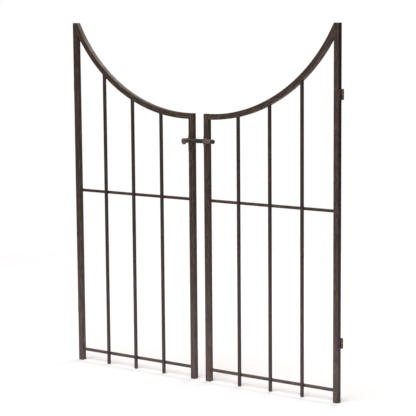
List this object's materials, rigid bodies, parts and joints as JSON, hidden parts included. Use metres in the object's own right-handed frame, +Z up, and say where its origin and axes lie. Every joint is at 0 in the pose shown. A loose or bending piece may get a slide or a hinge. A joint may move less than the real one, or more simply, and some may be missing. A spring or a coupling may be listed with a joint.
{
  "type": "double-leaf garden gate",
  "caption": "Double-leaf metal garden gate with swept top rails, thin square uprights, lift-off barrel hinges and a round slide bolt.",
  "frame": {"origin": "on the ground under the leaves' feet, midway between the two leaves, on the centre plane of the stiles", "axes": "+X towards the right-hand leaf as seen from the latch side, +Y to the back, away from the latch side, +Z up"},
  "size_m": [1.55, 0.0527, 1.676],
  "materials": {
    "frame_paint": "hand-rubbed dark bronze brown, satin, worn lighter on the edges",
    "hardware_paint": "dark bronze brown, satin",
    "bolt_steel": "dark bronze brown rubbed by sliding, satin",
    "keeper_steel": "worn light bronze, satin",
    "pin_steel": "bare steel, greased",
    "screw_steel": "blackened steel, rubbed on the heads",
    "washer_brass": "dull brass",
    "foot_plastic": "matt black-brown plastic"
  },
  "bodies": {
    "posts": {"left_upper_hinge_post_half": "hardware_paint", "left_upper_hinge_pin": "pin_steel", "left_upper_hinge_washer": "washer_brass", "left_lower_hinge_post_half": "hardware_paint", "left_lower_hinge_pin": "pin_steel", "left_lower_hinge_washer": "washer_brass", "right_upper_hinge_post_half": "hardware_paint", "right_upper_hinge_pin": "pin_steel", "right_upper_hinge_washer": "washer_brass", "right_lower_hinge_post_half": "hardware_paint", "right_lower_hinge_pin": "pin_steel", "right_lower_hinge_washer": "washer_brass"},
    "left_leaf": {"left_hinge_stile": "frame_paint", "left_hinge_stile_cap": "frame_paint", "left_hinge_stile_foot": "foot_plastic", "left_latch_stile": "frame_paint", "left_latch_stile_foot": "foot_plastic", "left_top_rail": "frame_paint", "left_mid_rail": "frame_paint", "left_bottom_rail": "frame_paint", "left_bar_1": "frame_paint", "left_bar_2": "frame_paint", "left_bar_3": "frame_paint", "left_upper_hinge_barrel": "hardware_paint", "left_lower_hinge_barrel": "hardware_paint", "latch_plate": "hardware_paint", "latch_plate_screws": "screw_steel", "bolt_guide": "hardware_paint"},
    "right_leaf": {"right_hinge_stile": "frame_paint", "right_hinge_stile_cap": "frame_paint", "right_hinge_stile_foot": "foot_plastic", "right_latch_stile": "frame_paint", "right_latch_stile_foot": "foot_plastic", "right_top_rail": "frame_paint", "right_mid_rail": "frame_paint", "right_bottom_rail": "frame_paint", "right_bar_1": "frame_paint", "right_bar_2": "frame_paint", "right_bar_3": "frame_paint", "right_upper_hinge_barrel": "hardware_paint", "right_lower_hinge_barrel": "hardware_paint", "keeper_plate": "hardware_paint", "keeper_plate_screws": "screw_steel", "keeper_jaws": "keeper_steel"},
    "bolt": {"bolt": "bolt_steel", "bolt_handle": "bolt_steel", "bolt_stop_pin": "pin_steel"}
  },
  "joints": [
    {"name": "left_leaf_swing", "type": "hinge", "parent": "posts", "child": "left_leaf", "pos_m": [-0.769, 0.009, 0], "axis": [0, 0, -1], "range_deg": [0, 95]},
    {"name": "right_leaf_swing", "type": "hinge", "parent": "posts", "child": "right_leaf", "pos_m": [0.769, 0.009, 0], "axis": [0, 0, -1], "range_deg": [0, 95]},
    {"name": "bolt_slide", "type": "slide", "parent": "left_leaf", "child": "bolt", "axis": [-1, 0, 0], "range_m": [-0.007, 0.0975]}
  ]
}
